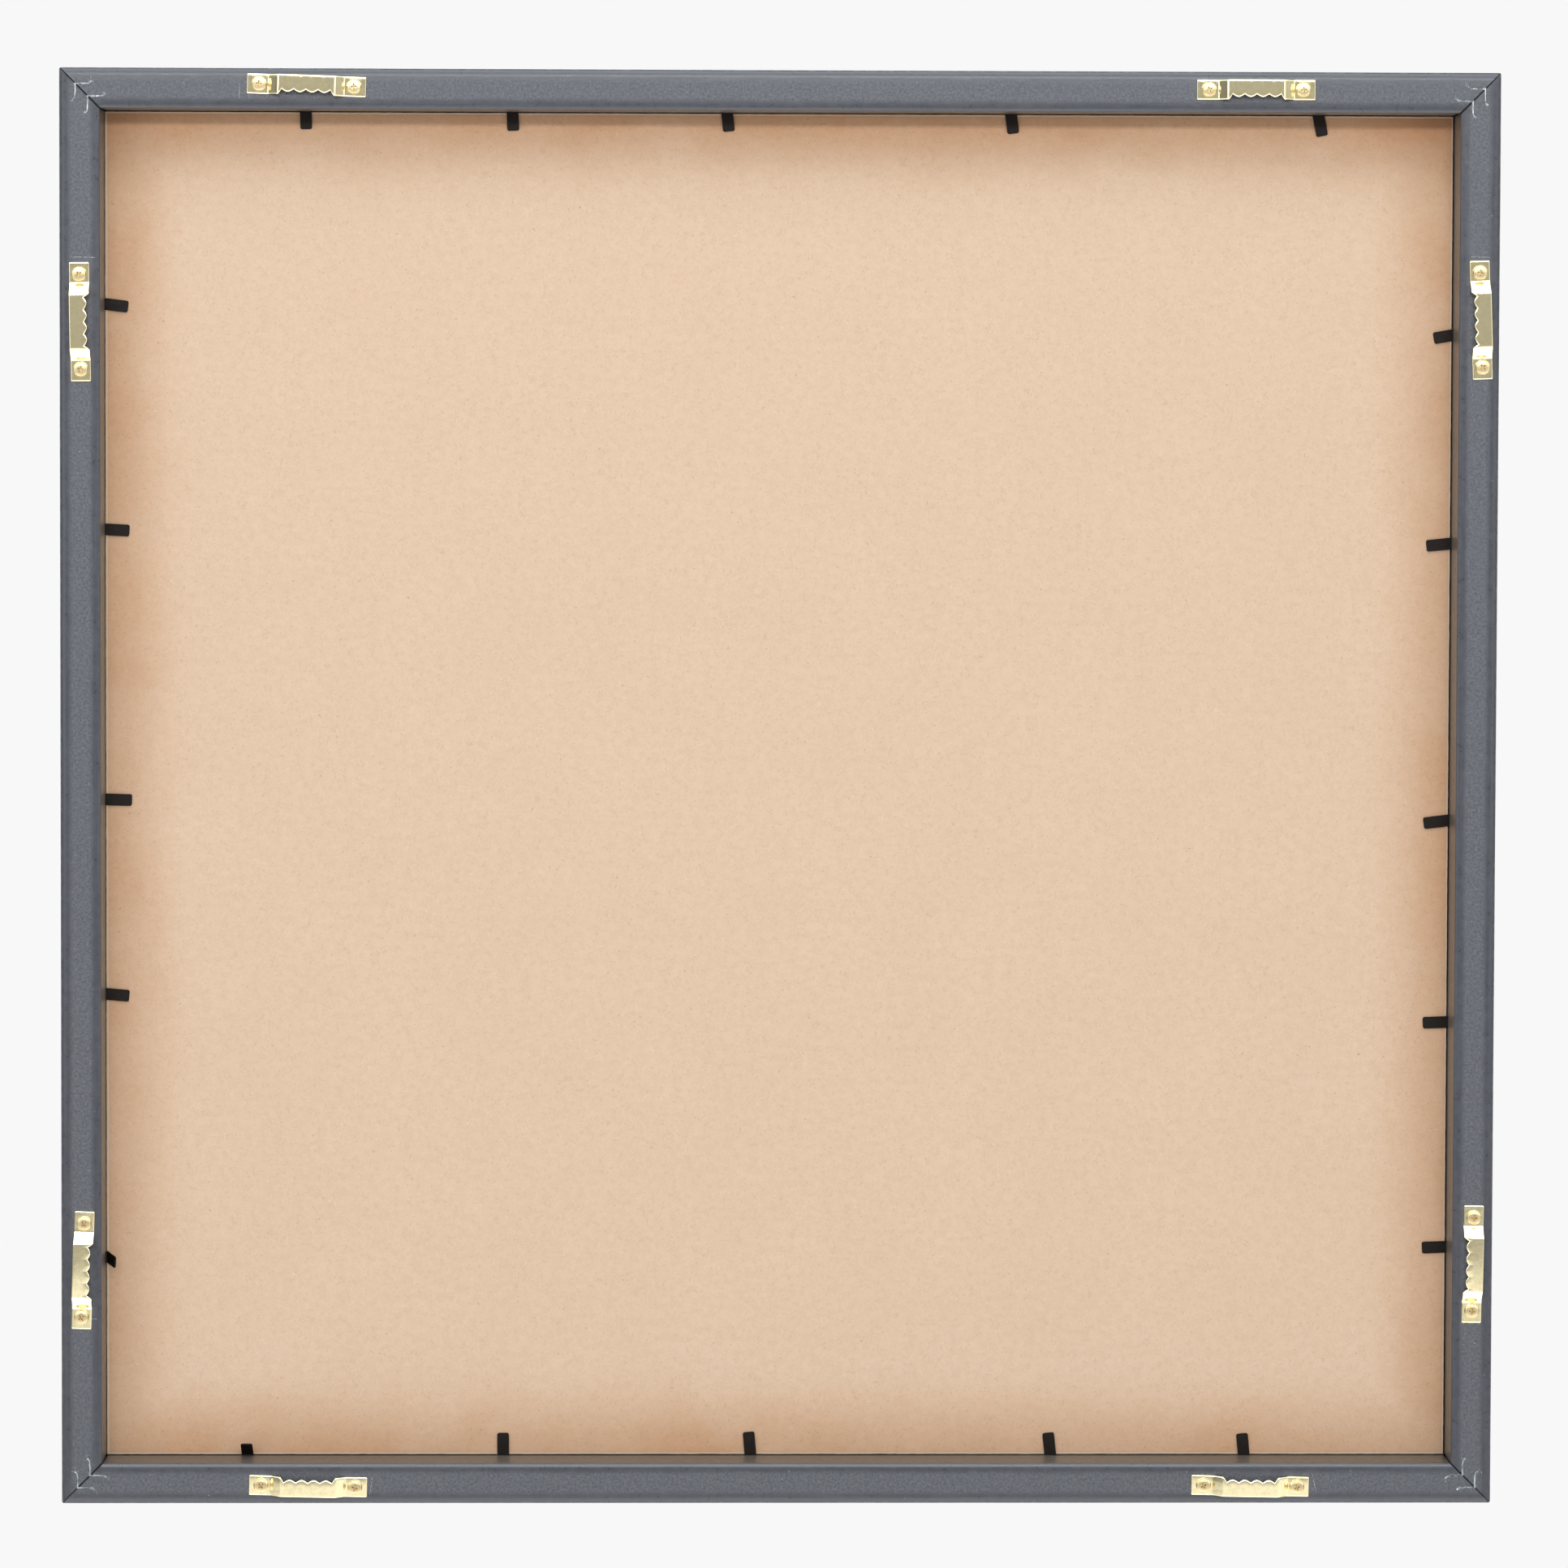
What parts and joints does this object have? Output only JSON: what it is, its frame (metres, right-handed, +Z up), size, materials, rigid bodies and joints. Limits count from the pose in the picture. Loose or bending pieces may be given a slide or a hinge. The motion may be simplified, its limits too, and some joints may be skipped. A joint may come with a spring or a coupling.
{
  "type": "float-mount picture frame",
  "caption": "Square float-mount picture frame with mitred rails, back panel held by bendable points, and sawtooth hangers on every side.",
  "frame": {"origin": "centre of the whole box, hangers included", "axes": "+Y to the back, where the hangers are; +Z up; +X to the right as seen from the front"},
  "size_m": [0.534, 0.0386, 0.534],
  "materials": {
    "moulding": "satin blue-grey paint on a smooth wood moulding, finely grained on the back",
    "nail_steel": "bare driven steel edge",
    "hanger_brass": "bright brass-plated pressed sheet",
    "screw_brass": "pale brass-plated, cross recess",
    "tab_steel": "matt black spring steel",
    "glazing": "clear, polished",
    "mount_board": "matt off-white",
    "cotton_paper": "matt, torn edges",
    "mdf": "bare fibreboard, fine fibres"
  },
  "bodies": {
    "frame": {"rail_top": "moulding", "rail_right": "moulding", "rail_bottom": "moulding", "rail_left": "moulding", "v_nail_top_right_outer": "nail_steel", "v_nail_top_right_inner": "nail_steel", "v_nail_bottom_right_outer": "nail_steel", "v_nail_bottom_right_inner": "nail_steel", "v_nail_bottom_left_outer": "nail_steel", "v_nail_bottom_left_inner": "nail_steel", "v_nail_top_left_outer": "nail_steel", "v_nail_top_left_inner": "nail_steel", "hanger_top_left": "hanger_brass", "hanger_top_right": "hanger_brass", "hanger_right_upper": "hanger_brass", "hanger_right_lower": "hanger_brass", "hanger_bottom_right": "hanger_brass", "hanger_bottom_left": "hanger_brass", "hanger_left_lower": "hanger_brass", "hanger_left_upper": "hanger_brass", "screw_top_left_1": "screw_brass", "screw_top_left_2": "screw_brass", "screw_top_right_1": "screw_brass", "screw_top_right_2": "screw_brass", "screw_right_upper_1": "screw_brass", "screw_right_upper_2": "screw_brass", "screw_right_lower_1": "screw_brass", "screw_right_lower_2": "screw_brass", "screw_bottom_right_1": "screw_brass", "screw_bottom_right_2": "screw_brass", "screw_bottom_left_1": "screw_brass", "screw_bottom_left_2": "screw_brass", "screw_left_lower_1": "screw_brass", "screw_left_lower_2": "screw_brass", "screw_left_upper_1": "screw_brass", "screw_left_upper_2": "screw_brass", "glazing": "glazing", "mount_board": "mount_board", "floated_sheet": "cotton_paper", "back_panel": "mdf"},
    "tab_top_1": {"tab_top_1": "tab_steel"},
    "tab_top_2": {"tab_top_2": "tab_steel"},
    "tab_top_3": {"tab_top_3": "tab_steel"},
    "tab_top_4": {"tab_top_4": "tab_steel"},
    "tab_top_5": {"tab_top_5": "tab_steel"},
    "tab_right_1": {"tab_right_1": "tab_steel"},
    "tab_right_2": {"tab_right_2": "tab_steel"},
    "tab_right_3": {"tab_right_3": "tab_steel"},
    "tab_right_4": {"tab_right_4": "tab_steel"},
    "tab_right_5": {"tab_right_5": "tab_steel"},
    "tab_bottom_1": {"tab_bottom_1": "tab_steel"},
    "tab_bottom_2": {"tab_bottom_2": "tab_steel"},
    "tab_bottom_3": {"tab_bottom_3": "tab_steel"},
    "tab_bottom_4": {"tab_bottom_4": "tab_steel"},
    "tab_bottom_5": {"tab_bottom_5": "tab_steel"},
    "tab_left_1": {"tab_left_1": "tab_steel"},
    "tab_left_2": {"tab_left_2": "tab_steel"},
    "tab_left_3": {"tab_left_3": "tab_steel"},
    "tab_left_4": {"tab_left_4": "tab_steel"},
    "tab_left_5": {"tab_left_5": "tab_steel"}
  },
  "joints": [
    {"name": "tab_top_1_bend", "type": "hinge", "parent": "frame", "child": "tab_top_1", "pos_m": [-0.201, -0.0023, 0.2514], "axis": [1, 0, 0], "range_deg": [0, 88]},
    {"name": "tab_top_2_bend", "type": "hinge", "parent": "frame", "child": "tab_top_2", "pos_m": [-0.086, -0.0023, 0.2514], "axis": [1, 0, 0], "range_deg": [0, 88]},
    {"name": "tab_top_3_bend", "type": "hinge", "parent": "frame", "child": "tab_top_3", "pos_m": [0.02, -0.0023, 0.2514], "axis": [1, 0, 0], "range_deg": [0, 88]},
    {"name": "tab_top_4_bend", "type": "hinge", "parent": "frame", "child": "tab_top_4", "pos_m": [0.1, -0.0023, 0.2514], "axis": [1, 0, 0], "range_deg": [0, 88]},
    {"name": "tab_top_5_bend", "type": "hinge", "parent": "frame", "child": "tab_top_5", "pos_m": [0.177, -0.0023, 0.2514], "axis": [1, 0, 0], "range_deg": [0, 88]},
    {"name": "tab_right_1_bend", "type": "hinge", "parent": "frame", "child": "tab_right_1", "pos_m": [0.2514, -0.0023, 0.18], "axis": [0, 0, -1], "range_deg": [0, 88]},
    {"name": "tab_right_2_bend", "type": "hinge", "parent": "frame", "child": "tab_right_2", "pos_m": [0.2514, -0.0023, 0.096], "axis": [0, 0, -1], "range_deg": [0, 88]},
    {"name": "tab_right_3_bend", "type": "hinge", "parent": "frame", "child": "tab_right_3", "pos_m": [0.2514, -0.0023, -0.005], "axis": [0, 0, -1], "range_deg": [0, 88]},
    {"name": "tab_right_4_bend", "type": "hinge", "parent": "frame", "child": "tab_right_4", "pos_m": [0.2514, -0.0023, -0.078], "axis": [0, 0, -1], "range_deg": [0, 88]},
    {"name": "tab_right_5_bend", "type": "hinge", "parent": "frame", "child": "tab_right_5", "pos_m": [0.2514, -0.0023, -0.177], "axis": [0, 0, -1], "range_deg": [-64, 24]},
    {"name": "tab_bottom_1_bend", "type": "hinge", "parent": "frame", "child": "tab_bottom_1", "pos_m": [0.199, -0.0023, -0.2514], "axis": [-1, 0, 0], "range_deg": [-54, 34]},
    {"name": "tab_bottom_2_bend", "type": "hinge", "parent": "frame", "child": "tab_bottom_2", "pos_m": [0.103, -0.0023, -0.2514], "axis": [-1, 0, 0], "range_deg": [0, 88]},
    {"name": "tab_bottom_3_bend", "type": "hinge", "parent": "frame", "child": "tab_bottom_3", "pos_m": [0.01, -0.0023, -0.2514], "axis": [-1, 0, 0], "range_deg": [0, 88]},
    {"name": "tab_bottom_4_bend", "type": "hinge", "parent": "frame", "child": "tab_bottom_4", "pos_m": [-0.103, -0.0023, -0.2514], "axis": [-1, 0, 0], "range_deg": [0, 88]},
    {"name": "tab_bottom_5_bend", "type": "hinge", "parent": "frame", "child": "tab_bottom_5", "pos_m": [-0.176, -0.0023, -0.2514], "axis": [-1, 0, 0], "range_deg": [0, 88]},
    {"name": "tab_left_1_bend", "type": "hinge", "parent": "frame", "child": "tab_left_1", "pos_m": [-0.2514, -0.0023, -0.173], "axis": [0, 0, 1], "range_deg": [0, 88]},
    {"name": "tab_left_2_bend", "type": "hinge", "parent": "frame", "child": "tab_left_2", "pos_m": [-0.2514, -0.0023, -0.088], "axis": [0, 0, 1], "range_deg": [0, 88]},
    {"name": "tab_left_3_bend", "type": "hinge", "parent": "frame", "child": "tab_left_3", "pos_m": [-0.2514, -0.0023, -0.012], "axis": [0, 0, 1], "range_deg": [0, 88]},
    {"name": "tab_left_4_bend", "type": "hinge", "parent": "frame", "child": "tab_left_4", "pos_m": [-0.2514, -0.0023, 0.092], "axis": [0, 0, 1], "range_deg": [0, 88]},
    {"name": "tab_left_5_bend", "type": "hinge", "parent": "frame", "child": "tab_left_5", "pos_m": [-0.2514, -0.0023, 0.17], "axis": [0, 0, 1], "range_deg": [0, 88]}
  ]
}
